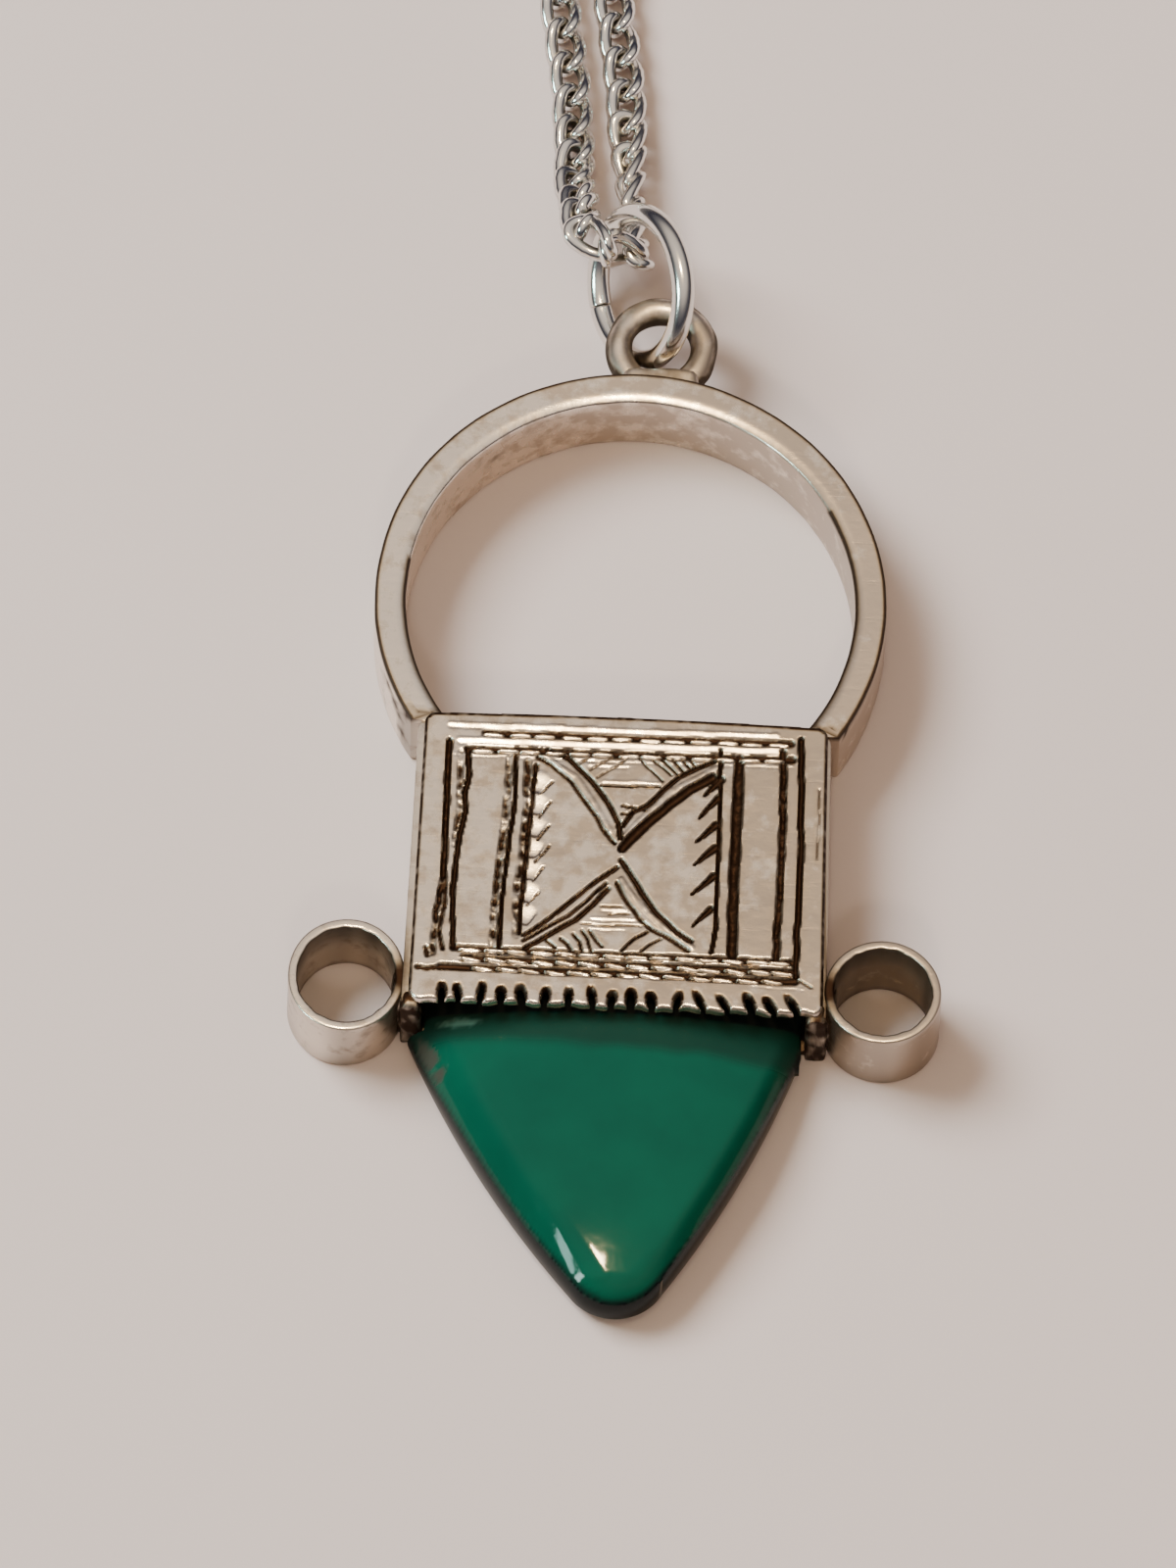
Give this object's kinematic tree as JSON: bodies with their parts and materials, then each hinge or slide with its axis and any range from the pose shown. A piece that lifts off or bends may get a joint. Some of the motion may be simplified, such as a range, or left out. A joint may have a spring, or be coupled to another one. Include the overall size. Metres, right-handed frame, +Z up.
{
  "type": "cross necklace",
  "caption": "Silver cross pendant with a round hoop, engraved box, side tubes and green stone drop, on a curb chain laid in a loop.",
  "frame": {"origin": "centre of the engraved box's back face, on the surface that the necklace lies on", "axes": "+Z up out of the engraved face, +Y along the pendant from the stone's tip to the eye and on towards the clasp, +X to the right"},
  "size_m": [0.1194, 0.2242, 0.0076],
  "materials": {
    "aged_silver": "matte aged silver with dark oxide in the grooves",
    "polished_silver": "bright polished silver",
    "green_stone": "polished translucent deep green stone"
  },
  "bodies": {
    "root": {"pendant_frame": "aged_silver", "stone": "green_stone", "jump_ring": "polished_silver", "chain_left": "polished_silver", "chain_right": "polished_silver", "clasp": "polished_silver"}
  },
  "joints": []
}
